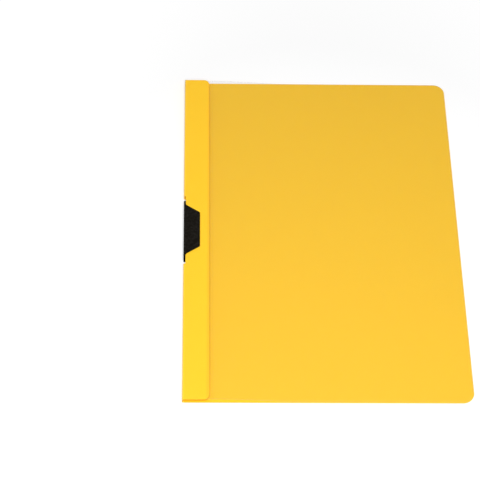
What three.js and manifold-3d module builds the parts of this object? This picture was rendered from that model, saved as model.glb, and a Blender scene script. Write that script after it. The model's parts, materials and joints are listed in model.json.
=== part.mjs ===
// A4 clip folder lying on its back: a creased plastic sheet, a clear film cover and a steel spring clip.
// Millimetres, +Z up. X runs from the spine to the opening edge, Y along the page height.
import * as THREE from 'three';
import * as BufferGeometryUtils from 'three/addons/utils/BufferGeometryUtils.js';
import Module from 'manifold-3d';

const wasm = await Module();
wasm.setup();

// Plastic sheet: back cover, spine and front strip in one piece
const backWidth = 220;
const sheetHeight = 310;
const sheetThickness = 0.4;
const spineHeight = 5;
const stripWidth = 20.4;
const backCornerRadius = 9;
const stripCornerRadius = 4.5;
const creaseInnerRadius = 0.5;

// Clear film: margin bonded under the strip, and the leaf that turns at a crease beside it
const filmThickness = 0.15;
const filmBondWidth = 8;
const filmCreaseOffset = 2.6;
const filmCreaseGap = 0.4;
const filmSideInset = 0.6;
const filmEndInset = 0.6;
const filmRestClearance = 0.3;
const filmFallLength = 70;

// Spring clip: a web that lies flush in a notch of the spine, and a tapered leg on each side
const clipThickness = 0.5;
const clipClearance = 0.2;
const clipBendRadius = 0.6;
const clipWebRim = 0.45;
const clipWebOverhang = 3.8;
const clipWebCornerRadius = 0.3;
const clipLegDepth = 13;
const clipShoulderLength = 48;
const clipShoulderRadius = 3;
const clipTipLength = 33;
const clipTipRadius = 1.2;

// Notch cut through the spine for the clip's web
const notchEndPlay = 5;
const notchSideClearance = 0.5;
const notchCornerRadius = 0.5;

// How far a trimming outline runs past what it trims
const trimMargin = 1;

// How finely the round stretches are cut
const creaseSegments = 6;
const cornerSegments = 10;
const fallSegments = 18;

// Heights of the stack, from the rear leg of the clip upwards
const sheetBottom = clipThickness + clipClearance;
const backTop = sheetBottom + sheetThickness;
const stripTop = sheetBottom + spineHeight;
const stripBottom = stripTop - sheetThickness;
const filmTop = stripBottom;
const filmCreaseX = stripWidth + filmCreaseOffset;
const filmRestBottom = backTop + filmRestClearance;
const clipTop = stripTop + clipClearance + clipThickness;

// Lengths and depths that the clip gives to its notch
const clipWebLength = clipShoulderLength + 2 * clipWebOverhang;
const notchLength = clipWebLength + 2 * notchEndPlay;
const notchDepth = clipThickness + clipBendRadius + notchSideClearance;

const yellowPlastic = new THREE.MeshStandardMaterial({ color: 0xf6c832, roughness: 0.45, metalness: 0 });
const clearFilm = new THREE.MeshStandardMaterial({
  color: 0xf2ead8,
  roughness: 0.12,
  metalness: 0,
  transparent: true,
  opacity: 0.3,
});
const blackEnamel = new THREE.MeshStandardMaterial({ color: 0x1a1714, roughness: 0.35, metalness: 0.4 });

// A section drawn in X and Z becomes a bar along Y, centred on Y = 0
function extrudeAlongY(shape, length) {
  const geometry = new THREE.ExtrudeGeometry(shape, {
    depth: length,
    bevelEnabled: false,
    curveSegments: creaseSegments,
  });
  geometry.translate(0, 0, -length / 2);
  geometry.rotateX(Math.PI / 2);
  return geometry;
}

// An outline drawn in X and Y becomes a plate between two heights
function extrudeUp(shape, low, high) {
  const geometry = new THREE.ExtrudeGeometry(shape, {
    depth: high - low,
    bevelEnabled: false,
    curveSegments: cornerSegments,
  });
  geometry.translate(0, 0, low);
  return geometry;
}

function toSolid(geometry) {
  const bare = geometry.clone();
  bare.deleteAttribute('normal');
  bare.deleteAttribute('uv');
  const merged = BufferGeometryUtils.mergeVertices(bare);
  return new wasm.Manifold(new wasm.Mesh({
    numProp: 3,
    vertProperties: new Float32Array(merged.attributes.position.array),
    triVerts: new Uint32Array(merged.index.array),
  }));
}

function toGeometry(solid) {
  const mesh = solid.getMesh();
  const geometry = new THREE.BufferGeometry();
  geometry.setAttribute('position', new THREE.BufferAttribute(new Float32Array(mesh.vertProperties), 3));
  geometry.setIndex(new THREE.BufferAttribute(new Uint32Array(mesh.triVerts), 1));
  geometry.computeVertexNormals();
  return geometry;
}

function namedMesh(name, geometry, material) {
  const mesh = new THREE.Mesh(geometry, material);
  mesh.name = name;
  return mesh;
}

// A closed outline through corners given counterclockwise as [x, y, radius]
function roundedOutline(corners) {
  const shape = new THREE.Shape();
  const points = corners.map(([x, y]) => new THREE.Vector2(x, y));
  corners.forEach(([, , radius], i) => {
    const corner = points[i];
    const before = points[(i + points.length - 1) % points.length].clone().sub(corner).normalize();
    const after = points[(i + 1) % points.length].clone().sub(corner).normalize();
    const halfAngle = Math.acos(before.dot(after)) / 2;
    const setback = radius / Math.tan(halfAngle);
    const start = corner.clone().addScaledVector(before, setback);
    const end = corner.clone().addScaledVector(after, setback);
    if (i === 0) shape.moveTo(start.x, start.y);
    else shape.lineTo(start.x, start.y);
    if (radius === 0) return;
    const toCentre = before.clone().add(after).normalize().multiplyScalar(radius / Math.sin(halfAngle));
    const centre = corner.clone().add(toCentre);
    const startAngle = start.sub(centre).angle();
    const endAngle = end.sub(centre).angle();
    const isConcave = before.cross(after) > 0;
    shape.absarc(centre.x, centre.y, radius, startAngle, endAngle, isConcave);
  });
  shape.closePath();
  return shape;
}

// Plan outline with a square spine side at left and rounded corners at right
function leafOutline(left, right, halfHeight, radius) {
  return roundedOutline([
    [left, -halfHeight, 0],
    [right, -halfHeight, radius],
    [right, halfHeight, radius],
    [left, halfHeight, 0],
  ]);
}

// Section of a strip of material bent round the spine: two legs joined by a web with rounded bends
function bentSection({ outerX, bottom, top, thickness, innerRadius, lowerReach, upperReach }) {
  const outerRadius = innerRadius + thickness;
  const bendX = outerX + outerRadius;
  const shape = new THREE.Shape();
  shape.moveTo(lowerReach, bottom);
  shape.lineTo(lowerReach, bottom + thickness);
  shape.lineTo(bendX, bottom + thickness);
  shape.absarc(bendX, bottom + outerRadius, innerRadius, -Math.PI / 2, -Math.PI, true);
  shape.lineTo(outerX + thickness, top - outerRadius);
  shape.absarc(bendX, top - outerRadius, innerRadius, Math.PI, Math.PI / 2, true);
  shape.lineTo(upperReach, top - thickness);
  shape.lineTo(upperReach, top);
  shape.lineTo(bendX, top);
  shape.absarc(bendX, top - outerRadius, outerRadius, Math.PI / 2, Math.PI, false);
  shape.lineTo(outerX, bottom + outerRadius);
  shape.absarc(bendX, bottom + outerRadius, outerRadius, Math.PI, Math.PI * 1.5, false);
  shape.closePath();
  return shape;
}

// Back cover, spine and front strip, folded from one sheet and notched for the clip
function makeCoverSheet() {
  const section = bentSection({
    outerX: 0,
    bottom: sheetBottom,
    top: stripTop,
    thickness: sheetThickness,
    innerRadius: creaseInnerRadius,
    lowerReach: backWidth,
    upperReach: stripWidth,
  });
  const folded = toSolid(extrudeAlongY(section, sheetHeight));
  const middle = (sheetBottom + stripTop) / 2;
  const backTrim = leafOutline(-trimMargin, backWidth, sheetHeight / 2, backCornerRadius);
  const stripTrim = leafOutline(-trimMargin, stripWidth, sheetHeight / 2, stripCornerRadius);
  const trim = toSolid(extrudeUp(backTrim, sheetBottom - trimMargin, middle))
    .add(toSolid(extrudeUp(stripTrim, middle - trimMargin / 2, stripTop + trimMargin)));
  const notchOutline = leafOutline(-trimMargin, notchDepth, notchLength / 2, notchCornerRadius);
  const notch = toSolid(extrudeUp(notchOutline, 0, stripTop + trimMargin));
  const cut = folded.intersect(trim).subtract(notch);
  return namedMesh('cover_sheet', toGeometry(cut), yellowPlastic);
}

// Margin of the film, bonded to the underside of the strip and reaching out to the crease
function makeFilmMargin() {
  const outline = new THREE.Shape();
  const halfHeight = sheetHeight / 2 - filmEndInset;
  const left = stripWidth - filmBondWidth;
  const right = filmCreaseX - filmCreaseGap / 2;
  outline.moveTo(left, -halfHeight);
  outline.lineTo(right, -halfHeight);
  outline.lineTo(right, halfHeight);
  outline.lineTo(left, halfHeight);
  outline.closePath();
  return namedMesh('film_margin', extrudeUp(outline, filmTop - filmThickness, filmTop), clearFilm);
}

// Height of the leaf's underside: it eases down from the crease and then lies along the back cover
function leafUnderside(x) {
  const start = filmCreaseX + filmCreaseGap / 2;
  const share = Math.min(1, Math.max(0, (x - start) / filmFallLength));
  const ease = (1 + Math.cos(Math.PI * share)) / 2;
  const highest = filmTop - filmThickness;
  return filmRestBottom + (highest - filmRestBottom) * ease;
}

// Clear front cover: falls gently from the crease and lies on the back cover
function makeFrontCover() {
  const start = filmCreaseX + filmCreaseGap / 2;
  const end = backWidth - filmSideInset;
  const stations = [];
  for (let i = 0; i <= fallSegments; i += 1) {
    stations.push(start + (filmFallLength * i) / fallSegments);
  }
  stations.push(end);
  const section = new THREE.Shape();
  section.moveTo(start, leafUnderside(start));
  stations.slice(1).forEach((x) => section.lineTo(x, leafUnderside(x)));
  stations.reverse().forEach((x) => section.lineTo(x, leafUnderside(x) + filmThickness));
  section.closePath();
  const length = sheetHeight - 2 * filmEndInset;
  const bent = toSolid(extrudeAlongY(section, length));
  const trimOutline = leafOutline(start - trimMargin, end, length / 2, backCornerRadius - filmEndInset);
  const trim = toSolid(extrudeUp(trimOutline, 0, filmTop + trimMargin));
  return namedMesh('front_cover', toGeometry(bent.intersect(trim)), clearFilm);
}

// Plan outline of the clip: a long web at left, and a leg that tapers from its shoulders to its tip
function clipOutline(left, tipX) {
  const webHalf = clipWebLength / 2;
  const shoulderHalf = clipShoulderLength / 2;
  const tipHalf = clipTipLength / 2;
  const webReach = clipThickness + clipBendRadius + clipWebRim;
  return roundedOutline([
    [left, -webHalf, 0],
    [webReach, -webHalf, clipWebCornerRadius],
    [webReach, -shoulderHalf, clipShoulderRadius],
    [tipX, -tipHalf, clipTipRadius],
    [tipX, tipHalf, clipTipRadius],
    [webReach, shoulderHalf, clipShoulderRadius],
    [webReach, webHalf, clipWebCornerRadius],
    [left, webHalf, 0],
  ]);
}

// Steel clip that grips the spine from outside
function makeSpringClip() {
  const section = bentSection({
    outerX: 0,
    bottom: 0,
    top: clipTop,
    thickness: clipThickness,
    innerRadius: clipBendRadius,
    lowerReach: clipLegDepth,
    upperReach: clipLegDepth,
  });
  const blank = toSolid(extrudeAlongY(section, clipWebLength));
  const outline = clipOutline(-trimMargin, clipLegDepth);
  const trim = toSolid(extrudeUp(outline, -trimMargin, clipTop + trimMargin));
  return namedMesh('spring_clip', toGeometry(blank.intersect(trim)), blackEnamel);
}

const folder = new THREE.Group();
folder.add(makeCoverSheet());
folder.add(makeFilmMargin());
folder.add(makeFrontCover());
folder.add(makeSpringClip());
// The origin lies under the middle of the whole folder
folder.position.x = -backWidth / 2;

export default folder;
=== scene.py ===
"""Dresses the clip folder in grained plastic, clear film and enamelled steel, on a white floor."""

import json
import math

import bmesh
import bpy
from bpy.props import FloatProperty, FloatVectorProperty, PointerProperty
from mathutils import Matrix, Vector


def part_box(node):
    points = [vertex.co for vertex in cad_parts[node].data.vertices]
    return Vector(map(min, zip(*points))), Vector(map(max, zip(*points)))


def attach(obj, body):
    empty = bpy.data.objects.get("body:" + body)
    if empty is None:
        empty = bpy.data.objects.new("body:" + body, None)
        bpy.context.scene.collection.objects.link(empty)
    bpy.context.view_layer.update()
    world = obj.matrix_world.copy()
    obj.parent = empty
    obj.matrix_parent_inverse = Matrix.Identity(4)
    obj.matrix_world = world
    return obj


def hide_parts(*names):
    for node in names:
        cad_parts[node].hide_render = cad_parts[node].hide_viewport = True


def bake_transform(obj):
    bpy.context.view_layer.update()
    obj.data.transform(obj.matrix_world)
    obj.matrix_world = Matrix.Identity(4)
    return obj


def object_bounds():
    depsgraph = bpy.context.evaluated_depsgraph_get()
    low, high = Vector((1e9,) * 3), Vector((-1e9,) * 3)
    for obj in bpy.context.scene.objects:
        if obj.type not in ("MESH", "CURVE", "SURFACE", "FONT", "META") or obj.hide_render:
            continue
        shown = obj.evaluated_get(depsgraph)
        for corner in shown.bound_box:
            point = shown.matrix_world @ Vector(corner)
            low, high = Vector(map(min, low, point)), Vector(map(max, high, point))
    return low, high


bl_info = {
    "name": "Clip Folder",
    "version": (1, 0, 0),
    "blender": (4, 5, 0),
    "location": "View3D > Sidebar > Folder",
    "description": "Dresses a clip folder with grained plastic, clear film and enamelled steel",
    "category": "Object",
}

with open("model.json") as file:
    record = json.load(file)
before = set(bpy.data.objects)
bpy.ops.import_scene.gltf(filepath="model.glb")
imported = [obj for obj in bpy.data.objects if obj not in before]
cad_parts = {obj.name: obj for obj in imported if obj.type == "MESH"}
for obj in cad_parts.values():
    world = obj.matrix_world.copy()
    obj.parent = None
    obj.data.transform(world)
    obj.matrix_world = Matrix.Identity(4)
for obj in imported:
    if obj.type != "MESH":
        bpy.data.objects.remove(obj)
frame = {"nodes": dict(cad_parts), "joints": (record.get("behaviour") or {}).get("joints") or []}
CAD_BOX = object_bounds()
MM = 0.001

# Read from the frame: the boxes of the sheet and of the film's two parts, and the film's crease
SHEET_LOW, SHEET_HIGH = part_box("cover_sheet")
MARGIN_LOW, MARGIN_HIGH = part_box("film_margin")
LEAF_LOW, LEAF_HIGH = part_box("front_cover")
CREASE_X = next(joint["pos_m"][0] for joint in frame["joints"] if joint["name"] == "cover_hinge")

# Sizes that the boxes don't give
STRIP_WIDTH = 20.4 * MM
FILM_FALL = 70 * MM
FILM_CORNER_RADIUS = 8.4 * MM
FILM_RIM_WIDTH = 0.4 * MM


class SheetSettings(bpy.types.PropertyGroup):
    """Colours and fine sizes of the creased sheet"""

    colour: FloatVectorProperty(
        name="Colour", description="Colour of the opaque plastic", subtype="COLOR", size=3,
        default=(1.0, 0.575, 0.022), min=0, max=1,
    )
    # Painted shade: the deeper colour of the band along the strip's edge, not a colour of the plastic
    edge_shade_colour: FloatVectorProperty(
        name="Bond colour", description="Colour of the strip's edge, where the film is bonded on",
        subtype="COLOR", size=3, default=(1.0, 0.515, 0.022), min=0, max=1,
    )
    crease_colour: FloatVectorProperty(
        name="Crease colour", description="Colour that the plastic pales towards along its creases",
        subtype="COLOR", size=3, default=(1.0, 0.80, 0.22), min=0, max=1,
    )
    edge_radius: FloatProperty(
        name="Edge radius", description="Rounding of the die-cut edges", default=0.00008,
        min=0.00001, max=0.0002, unit="LENGTH", precision=5,
    )
    grain_depth: FloatProperty(
        name="Grain depth", description="Depth of the fine embossed grain", default=0.00002,
        min=0, max=0.0002, unit="LENGTH", precision=5,
    )


class FilmSettings(bpy.types.PropertyGroup):
    """Tint, haze and waves of the clear film"""

    colour: FloatVectorProperty(
        name="Colour", description="Tint of the haze in the clear film", subtype="COLOR", size=3,
        default=(0.30, 0.25, 0.16), min=0, max=1,
    )
    # Painted light at the film's cut edge: a grey line that stands in for the edge catching the light
    rim_painted_colour: FloatVectorProperty(
        name="Rim colour", description="Colour of the haze at the film's cut edge", subtype="COLOR",
        size=3, default=(0.50, 0.50, 0.48), min=0, max=1,
    )
    haze: FloatProperty(
        name="Haze", description="Share of light that each face of the film holds back", default=0.040,
        min=0, max=1, subtype="FACTOR",
    )
    veil: FloatProperty(
        name="Veil", description="Further share of light that a face holds back when seen edge-on",
        default=0.35, min=0, max=1, subtype="FACTOR",
    )
    ripple: FloatProperty(
        name="Ripple", description="How far the film rises in soft waves", default=0.00016,
        min=0, max=0.0005, unit="LENGTH", precision=5,
    )


class ClipSettings(bpy.types.PropertyGroup):
    """Colours and edges of the spring clip"""

    colour: FloatVectorProperty(
        name="Colour", description="Colour of the enamel", subtype="COLOR", size=3,
        default=(0.0045, 0.0035, 0.0020), min=0, max=1,
    )
    worn_colour: FloatVectorProperty(
        name="Worn colour", description="Colour of the enamel where its edges are rubbed",
        subtype="COLOR", size=3, default=(0.06, 0.055, 0.05), min=0, max=1,
    )
    edge_radius: FloatProperty(
        name="Edge radius", description="Rounding of the stamped edges", default=0.00012,
        min=0.00001, max=0.0002, unit="LENGTH", precision=5,
    )


class StageSettings(bpy.types.PropertyGroup):
    """Light and lens of the stage"""

    key_power: FloatProperty(
        name="Key power", description="Power of the large lamp in front of the folder", default=13.6,
        min=0, unit="POWER",
    )
    key_size: FloatProperty(
        name="Key size", description="Diameter of the large lamp", default=0.6, min=0.05, unit="LENGTH",
    )
    sky: FloatProperty(
        name="Sky", description="Strength of the even light from all round", default=0.35, min=0,
    )
    lens: FloatProperty(
        name="Lens", description="Focal length of the camera", default=129.3, min=10, unit="CAMERA",
    )


class Wire:
    """A socket that shader maths can be written with as plain sums, products and powers."""

    def __init__(self, shader, socket):
        self.shader = shader
        self.socket = socket

    def _math(self, operation, first, second):
        return self.shader.add("ShaderNodeMath", {"operation": operation}, {0: first, 1: second})

    def __add__(self, other):
        return self._math("ADD", self, other)

    def __radd__(self, other):
        return self._math("ADD", other, self)

    def __sub__(self, other):
        return self._math("SUBTRACT", self, other)

    def __rsub__(self, other):
        return self._math("SUBTRACT", other, self)

    def __mul__(self, other):
        return self._math("MULTIPLY", self, other)

    def __rmul__(self, other):
        return self._math("MULTIPLY", other, self)

    def __truediv__(self, other):
        return self._math("DIVIDE", self, other)

    def __rtruediv__(self, other):
        return self._math("DIVIDE", other, self)

    def __pow__(self, other):
        return self._math("POWER", self, other)

    def __rpow__(self, other):
        return self._math("POWER", other, self)

    def __abs__(self):
        return self._math("ABSOLUTE", self, 0.0)


class Shader:
    """A node tree that is filled node by node."""

    def __init__(self, owner):
        owner.use_nodes = True
        self.tree = owner.node_tree
        self.tree.nodes.clear()

    def add(self, kind, settings=None, inputs=None, output=0):
        """Adds a node: first its settings, then the values or links of its sockets."""
        node = self.tree.nodes.new(kind)
        for name, value in (settings or {}).items():
            if name == "stops":
                self._set_stops(node.color_ramp, value)
            else:
                setattr(node, name, value)
        for name, value in (inputs or {}).items():
            if isinstance(value, Wire):
                self.tree.links.new(value.socket, node.inputs[name])
            else:
                node.inputs[name].default_value = value
        if not node.outputs:
            return node
        return Wire(self, node.outputs[output])

    @staticmethod
    def _set_stops(ramp, stops):
        while len(ramp.elements) > 1:
            ramp.elements.remove(ramp.elements[-1])
        for i, (place, level) in enumerate(stops):
            element = ramp.elements[0] if i == 0 else ramp.elements.new(place)
            element.position = place
            element.color = (level, level, level, 1)

    def place(self):
        return self.add("ShaderNodeTexCoord", output="Object")

    def axis(self, place, name):
        return self.add("ShaderNodeSeparateXYZ", inputs={0: place}, output=name)

    def stretch(self, place, scale):
        return self.add("ShaderNodeVectorMath", {"operation": "MULTIPLY"}, {0: place, 1: scale})

    def noise(self, place, scale, detail):
        """Soft noise, with its scale in cells for each metre."""
        return self.add("ShaderNodeTexNoise", inputs={
            "Vector": place,
            "Scale": scale,
            "Detail": detail,
            "Roughness": 0.5,
        })

    def ramp(self, value, stops):
        """A curve of straight steps, through stops of place and level."""
        return self.add("ShaderNodeValToRGB", {"stops": stops}, {0: value})

    def mix(self, share, first, second):
        inputs = {0: share, 6: first, 7: second}
        return self.add("ShaderNodeMix", {"data_type": "RGBA"}, inputs, output=2)

    def bump(self, height, distance, strength=1.0):
        inputs = {"Height": height, "Distance": distance, "Strength": strength}
        return self.add("ShaderNodeBump", inputs=inputs)

    def surface(self, result):
        self.add("ShaderNodeOutputMaterial", inputs={"Surface": result})


def rgba(colour, gain=1.0):
    return (colour[0] * gain, colour[1] * gain, colour[2] * gain, 1.0)


def yellow_plastic(settings):
    """Opaque plastic with a fine embossed grain, paler at its creases, with painted shade deepening the
    strip's edge.
    """
    material = bpy.data.materials.new("yellow_plastic")
    shader = Shader(material)
    place = shader.place()
    across = shader.axis(place, "X")
    along = shader.axis(place, "Y")
    level = shader.axis(place, "Z")

    grain = shader.noise(place, scale=2600, detail=2.0)
    pebbles = shader.noise(place, scale=900, detail=1.0)
    clouds = shader.noise(place, scale=9, detail=2.0)
    streaks = shader.noise(shader.stretch(place, (30, 260, 60)), scale=1.0, detail=4.0)
    scuffs = shader.ramp(streaks, [(0.60, 0), (0.75, 1)])

    crease_width = 1.6 * MM
    from_spine = (across - SHEET_LOW.x) / crease_width
    crease = shader.ramp(from_spine, [(0.0, 0.0), (0.25, 1.0), (0.7, 1.0), (1.0, 0.0)])

    # Painted shade: a deeper band along the strip's edge, standing in for the edge turning away from
    # the light, wider towards the foot of the page
    strip_end = SHEET_LOW.x + STRIP_WIDTH
    middle_shade_width = 2.1 * MM
    shade_taper = 0.006
    edge_shade_width = middle_shade_width - along * shade_taper
    into_edge_shade = shader.ramp((across - strip_end) / edge_shade_width + 1, [(0.0, 0.0), (0.5, 1.0)])
    share_of_height = (level - SHEET_LOW.z) / (SHEET_HIGH.z - SHEET_LOW.z)
    on_strip = shader.ramp(share_of_height, [(0.6, 0.0), (0.8, 1.0)])

    colour = shader.mix(clouds * 0.10, rgba(settings.colour), rgba(settings.colour, gain=0.93))
    colour = shader.mix(crease * 0.10, colour, rgba(settings.crease_colour))
    colour = shader.mix(into_edge_shade * on_strip, colour, rgba(settings.edge_shade_colour))
    roughness = 0.40 + grain * 0.10 + scuffs * 0.08
    height = grain * 0.6 + pebbles * 0.4
    shader.surface(shader.add("ShaderNodeBsdfPrincipled", inputs={
        "Base Color": colour,
        "Roughness": roughness,
        "Specular IOR Level": 0.25,
        "Subsurface Weight": 0.4,
        "Subsurface Radius": (1.0, 1.0, 0.4),
        "Subsurface Scale": 0.5 * MM,
        "Normal": shader.bump(height, settings.grain_depth),
    }))
    return material


def clear_film(settings):
    """Clear film with a trace of haze, whitened at its crease, with a painted grey line at its cut rim
    standing in for the edge catching the light, and veiled at a low angle.
    """
    material = bpy.data.materials.new("clear_film")
    shader = Shader(material)
    place = shader.place()

    clouds = shader.noise(place, scale=14, detail=2.0)
    streaks = shader.noise(shader.stretch(place, (700, 25, 25)), scale=1.0, detail=3.0)
    scratches = shader.ramp(streaks, [(0.62, 0), (0.70, 1)])

    crease_reach = 0.45 * MM
    from_crease = abs((shader.axis(place, "X") - CREASE_X) / crease_reach)
    crease = shader.ramp(from_crease, [(0.0, 1.0), (1.0, 0.0)])
    rim = shader.add("ShaderNodeAttribute", {"attribute_name": "rim"}, output="Fac")
    glance = shader.add("ShaderNodeLayerWeight", inputs={"Blend": 0.5}, output="Facing") ** 3

    wave_depth = 0.2 * MM
    # The rim's grey colour and extra haze are a painted line of light along the film's cut edge
    shader.surface(shader.add("ShaderNodeBsdfPrincipled", inputs={
        "Base Color": shader.mix(rim, rgba(settings.colour), rgba(settings.rim_painted_colour)),
        "Roughness": 0.10 + clouds * 0.06 + scratches * 0.10,
        "Alpha": settings.haze + glance * settings.veil + crease * 0.03 + rim * 0.15,
        "Normal": shader.bump(clouds, wave_depth, strength=0.35),
    }))
    return material


def black_enamel(settings):
    """Satin black enamel on steel: slight orange peel, and a little wear where the edges turn."""
    material = bpy.data.materials.new("black_enamel")
    shader = Shader(material)
    place = shader.place()

    peel = shader.noise(place, scale=1500, detail=2.0)
    smears = shader.noise(shader.stretch(place, (90, 300, 90)), scale=1.0, detail=3.0)
    turned = shader.add("ShaderNodeNewGeometry", output="Pointiness")
    edges = shader.ramp(turned, [(0.52, 0), (0.60, 1)])
    patches = shader.ramp(shader.noise(place, scale=700, detail=3.0), [(0.45, 0), (0.70, 1)])
    worn = edges * patches

    peel_depth = 0.01 * MM
    shader.surface(shader.add("ShaderNodeBsdfPrincipled", inputs={
        "Base Color": shader.mix(worn * 0.5, rgba(settings.colour), rgba(settings.worn_colour)),
        "Roughness": 0.34 + smears * 0.14,
        "Specular IOR Level": 0.04,
        "Normal": shader.bump(peel, peel_depth),
    }))
    return material


def link_object(name, mesh):
    """A new object in the scene that shows a mesh."""
    piece = bpy.data.objects.new(name, mesh)
    bpy.context.scene.collection.objects.link(piece)
    return piece


def mesh_from(shape, name):
    """Turns an edited shape into a mesh and lets go of the shape."""
    mesh = bpy.data.meshes.new(name)
    shape.to_mesh(mesh)
    shape.free()
    return mesh


def softened_copy(node, name, edge_radius, material):
    """A copy of a node with whole flat faces and finely rounded edges."""
    weld_distance = 1e-7
    flat_angle = math.radians(0.4)
    sharp_angle = math.radians(35)
    shape = bmesh.new()
    shape.from_mesh(frame["nodes"][node].data)
    bmesh.ops.remove_doubles(shape, verts=shape.verts, dist=weld_distance)
    bmesh.ops.dissolve_limit(shape, angle_limit=flat_angle, verts=shape.verts, edges=shape.edges)
    sharp = [
        edge for edge in shape.edges
        if len(edge.link_faces) == 2 and edge.calc_face_angle() > sharp_angle
    ]
    bmesh.ops.bevel(
        shape, geom=sharp, offset=edge_radius, offset_type="OFFSET", segments=2, profile=0.5,
        affect="EDGES", clamp_overlap=True,
    )
    for face in shape.faces:
        face.smooth = True
    mesh = mesh_from(shape, name)
    mesh.materials.append(material)
    piece = link_object(name, mesh)
    weighted = piece.modifiers.new("even_shading", "WEIGHTED_NORMAL")
    weighted.keep_sharp = True
    return piece


def steps_between(start, end, count):
    """Evenly spaced places after start, up to and with end."""
    return [start + (end - start) * i / count for i in range(1, count + 1)]


def film_stations(left, right):
    """Places across the film: close together at the crease, over the fall and round the corners."""
    crease_half = 0.9 * MM
    crease_steps = 12
    fall_steps = 40
    flat_steps = 12
    corner_steps = 12
    crease_start = CREASE_X - crease_half
    crease_end = CREASE_X + crease_half
    fall_end = CREASE_X + FILM_FALL + 2 * MM
    corner_start = right - FILM_CORNER_RADIUS
    stations = [left, CREASE_X - 3 * crease_half, crease_start]
    stations += steps_between(crease_start, crease_end, crease_steps)
    stations += steps_between(crease_end, fall_end, fall_steps)
    stations += steps_between(fall_end, corner_start, flat_steps)
    for turn in steps_between(0, math.pi / 2, corner_steps):
        stations.append(corner_start + FILM_CORNER_RADIUS * math.sin(turn))
    return stations


def film_half_height(x, right):
    """Half the film's height at a place across it: less where the corners are rounded."""
    into_corner = max(0.0, x - (right - FILM_CORNER_RADIUS))
    corner_rise = math.sqrt(max(0.0, FILM_CORNER_RADIUS ** 2 - into_corner ** 2))
    return LEAF_HIGH.y - FILM_CORNER_RADIUS + corner_rise


def film_top(x, y, thickness, ripple):
    """Height of the film's upper face: level to the crease, easing down, then softly waved."""
    rate_across, start_across = 41, 1.2
    rate_along, start_along = 27, 0.4
    share = min(1.0, max(0.0, (x - LEAF_LOW.x) / FILM_FALL))
    ease = (1 + math.cos(math.pi * share)) / 2
    lowest = LEAF_LOW.z + thickness
    swing_across = math.sin(x * rate_across + start_across)
    swing_along = math.sin(y * rate_along + start_along)
    wave = (1 + swing_across * swing_along) / 2
    return lowest + (LEAF_HIGH.z - lowest) * ease + ripple * wave * share


def film_layers(shape, ripple):
    """The film's top and bottom points, column by column, marked from 0 inside to 1 at the rim."""
    left, right = MARGIN_LOW.x, LEAF_HIGH.x
    thickness = MARGIN_HIGH.z - MARGIN_LOW.z
    inner_rows = 46
    rim_share = shape.verts.layers.float.new("rim")
    layers = ([], [])
    for x in film_stations(left, right):
        half = film_half_height(x, right)
        inner = half - FILM_RIM_WIDTH
        inner_places = [inner * (2 * j / inner_rows - 1) for j in range(inner_rows + 1)]
        for layer, drop in zip(layers, (0.0, thickness)):
            column = []
            for y in (-half, *inner_places, half):
                point = shape.verts.new((x, y, film_top(x, y, thickness, ripple) - drop))
                from_edge = min(half - abs(y), right - x)
                point[rim_share] = max(0.0, 1 - from_edge / FILM_RIM_WIDTH)
                column.append(point)
            layer.append(column)
    return layers


def film_mesh(ripple):
    """The whole film, margin and leaf, as one thin closed sheet."""
    shape = bmesh.new()
    top, bottom = film_layers(shape, ripple)
    columns = len(top) - 1
    rows = len(top[0]) - 1
    for i in range(columns):
        for j in range(rows):
            shape.faces.new((top[i][j], top[i + 1][j], top[i + 1][j + 1], top[i][j + 1]))
            shape.faces.new((bottom[i][j], bottom[i][j + 1], bottom[i + 1][j + 1], bottom[i + 1][j]))
        for j, turn in ((0, 1), (rows, -1)):
            wall = (top[i][j], bottom[i][j], bottom[i + 1][j], top[i + 1][j])
            shape.faces.new(wall[::turn])
    for j in range(rows):
        for i, turn in ((0, -1), (columns, 1)):
            wall = (top[i][j], bottom[i][j], bottom[i][j + 1], top[i][j + 1])
            shape.faces.new(wall[::turn])
    bmesh.ops.recalc_face_normals(shape, faces=shape.faces)
    cut_edge_angle = math.radians(40)
    for face in shape.faces:
        face.smooth = True
    for edge in shape.edges:
        edge.smooth = edge.calc_face_angle() < cut_edge_angle
    return mesh_from(shape, "front_film")


class FOLDER_OT_cover_sheet(bpy.types.Operator):
    """Make the creased yellow sheet"""

    bl_idname = "folder.cover_sheet"
    bl_label = "Cover sheet"

    def execute(self, context):
        settings = context.scene.folder_sheet
        piece = softened_copy(
            "cover_sheet", "creased_sheet", settings.edge_radius, yellow_plastic(settings),
        )
        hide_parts("cover_sheet")
        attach(piece, "folder")
        return {"FINISHED"}


class FOLDER_OT_front_film(bpy.types.Operator):
    """Make the clear film, level to its crease and easing down beyond it"""

    bl_idname = "folder.front_film"
    bl_label = "Front film"

    def execute(self, context):
        settings = context.scene.folder_film
        mesh = film_mesh(settings.ripple)
        mesh.materials.append(clear_film(settings))
        piece = link_object("front_film", mesh)
        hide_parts("film_margin", "front_cover")
        bend_half = 0.7 * MM
        CREASE_X - bend_half
        CREASE_X + bend_half
        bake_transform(piece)
        return {"FINISHED"}


class FOLDER_OT_spring_clip(bpy.types.Operator):
    """Make the enamelled spring clip"""

    bl_idname = "folder.spring_clip"
    bl_label = "Spring clip"

    def execute(self, context):
        settings = context.scene.folder_clip
        piece = softened_copy(
            "spring_clip", "enamelled_clip", settings.edge_radius, black_enamel(settings),
        )
        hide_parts("spring_clip")
        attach(piece, "clip")
        return {"FINISHED"}


def seen_directly(shader):
    """1 for what is seen, straight, in gloss or through a clear piece, and 0 for what only lights."""
    straight = shader.add("ShaderNodeLightPath", output="Is Camera Ray")
    in_gloss = shader.add("ShaderNodeLightPath", output="Is Glossy Ray")
    through = shader.add("ShaderNodeLightPath", output="Is Transmission Ray")
    return shader.add("ShaderNodeMath", {"operation": "MAXIMUM"}, {0: straight, 1: in_gloss + through})


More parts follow.
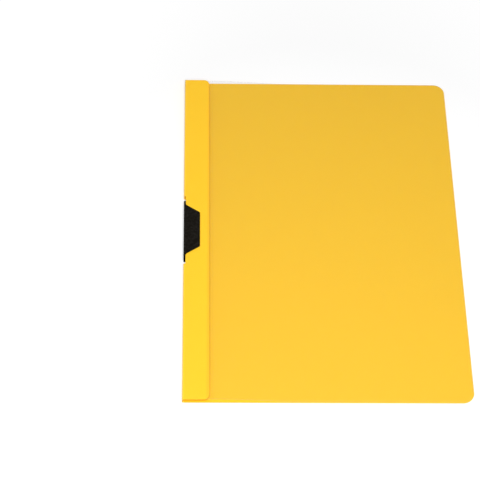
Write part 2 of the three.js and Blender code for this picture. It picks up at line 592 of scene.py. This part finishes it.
def floor_paint():
    """White paint that keeps a shadow and brightens to pure white away from the folder."""
    glow_reach = 2.0
    pale = (0.82, 0.82, 0.82, 1)
    material = bpy.data.materials.new("floor")
    shader = Shader(material)
    distance = shader.add(
        "ShaderNodeVectorMath", {"operation": "LENGTH"}, {0: shader.place()}, output="Value",
    )
    brightness = shader.ramp(
        distance / glow_reach, [(0.10, 0.18), (0.22, 0.40), (0.5, 0.70), (1.0, 1.0)],
    )
    diffuse = shader.add("ShaderNodeBsdfDiffuse", inputs={"Color": pale})
    glow = shader.add(
        "ShaderNodeEmission", inputs={"Color": brightness, "Strength": seen_directly(shader)},
    )
    shader.surface(shader.add("ShaderNodeAddShader", inputs={0: diffuse, 1: glow}))
    return material


def make_floor():
    """A wide floor, just clear of the folder's underside."""
    reach = 8.0
    squares = 24
    clearance = 0.05 * MM
    shape = bmesh.new()
    bmesh.ops.create_grid(shape, x_segments=squares, y_segments=squares, size=reach)
    mesh = mesh_from(shape, "floor")
    mesh.materials.append(floor_paint())
    floor = link_object("floor", mesh)
    floor.location.z = CAD_BOX[0].z - clearance


def make_sky(strength):
    """Even light from all round, which is white where it is seen."""
    world = bpy.data.worlds.new("studio")
    bpy.context.scene.world = world
    shader = Shader(world)
    level = strength + seen_directly(shader) * (1 - strength)
    background = shader.add("ShaderNodeBackground", inputs={"Color": (1, 1, 1, 1), "Strength": level})
    shader.add("ShaderNodeOutputWorld", inputs={"Surface": background})


def make_key_lamp(size, power):
    """A large soft lamp in front of the folder, aimed at its middle."""
    place = Vector((-0.07, -0.60, 1.03))
    lamp = bpy.data.lights.new("key", "AREA")
    lamp.shape = "DISK"
    lamp.size = size
    lamp.energy = power
    holder = bpy.data.objects.new("key", lamp)
    holder.location = place
    holder.rotation_euler = (-place).to_track_quat("-Z", "Y").to_euler()
    bpy.context.scene.collection.objects.link(holder)


def make_camera(lens):
    """The camera stands in front of the folder and looks down on it, turned and rolled a little."""
    place = Vector((-101.0, -791.8, 1128.3)) * MM
    pitch = math.radians(55.12)
    turn = math.radians(2.62)
    roll = math.radians(2.45)
    ahead = Vector((
        math.sin(turn) * math.cos(pitch),
        math.cos(turn) * math.cos(pitch),
        -math.sin(pitch),
    ))
    level = Vector((math.cos(turn), -math.sin(turn), 0))
    upright = level.cross(ahead)
    right = level * math.cos(roll) + upright * math.sin(roll)
    up = upright * math.cos(roll) - level * math.sin(roll)
    camera = bpy.data.cameras.new("camera")
    camera.lens = lens
    camera.sensor_width = 36
    camera.clip_start = 0.01
    camera.clip_end = 20
    holder = bpy.data.objects.new("camera", camera)
    holder.matrix_world = Matrix.Translation(place) @ Matrix((right, up, -ahead)).transposed().to_4x4()
    bpy.context.scene.collection.objects.link(holder)
    bpy.context.scene.camera = holder


class FOLDER_OT_stage(bpy.types.Operator):
    """Set the white floor, the soft light and the camera"""

    bl_idname = "folder.stage"
    bl_label = "Stage"

    def execute(self, context):
        settings = context.scene.folder_stage
        make_floor()
        make_sky(settings.sky)
        make_key_lamp(settings.key_size, settings.key_power)
        make_camera(settings.lens)
        context.scene.view_settings.view_transform = "Standard"
        return {"FINISHED"}


PANEL_ROWS = (
    ("folder.cover_sheet", "folder_sheet"),
    ("folder.front_film", "folder_film"),
    ("folder.spring_clip", "folder_clip"),
    ("folder.stage", "folder_stage"),
)


class FOLDER_PT_tools(bpy.types.Panel):
    """Lists the folder's pieces and settings"""

    bl_label = "Clip folder"
    bl_space_type = "VIEW_3D"
    bl_region_type = "UI"
    bl_category = "Folder"

    def draw(self, context):
        for operator, settings in PANEL_ROWS:
            box = self.layout.box()
            box.operator(operator)
            group = getattr(context.scene, settings)
            for name in group.bl_rna.properties.keys():
                if name not in ("rna_type", "name"):
                    box.prop(group, name)


SETTINGS = {
    "folder_sheet": SheetSettings,
    "folder_film": FilmSettings,
    "folder_clip": ClipSettings,
    "folder_stage": StageSettings,
}
CLASSES = (
    *SETTINGS.values(),
    FOLDER_OT_cover_sheet,
    FOLDER_OT_front_film,
    FOLDER_OT_spring_clip,
    FOLDER_OT_stage,
    FOLDER_PT_tools,
)


def register():
    for kind in CLASSES:
        bpy.utils.register_class(kind)
    for name, kind in SETTINGS.items():
        setattr(bpy.types.Scene, name, PointerProperty(type=kind))


def unregister():
    for name in SETTINGS:
        delattr(bpy.types.Scene, name)
    for kind in reversed(CLASSES):
        bpy.utils.unregister_class(kind)


def main():
    """Makes the folder and its stage."""
    register()
    bpy.ops.folder.cover_sheet()
    bpy.ops.folder.front_film()
    bpy.ops.folder.spring_clip()
    bpy.ops.folder.stage()


if __name__ == "__main__":
    main()
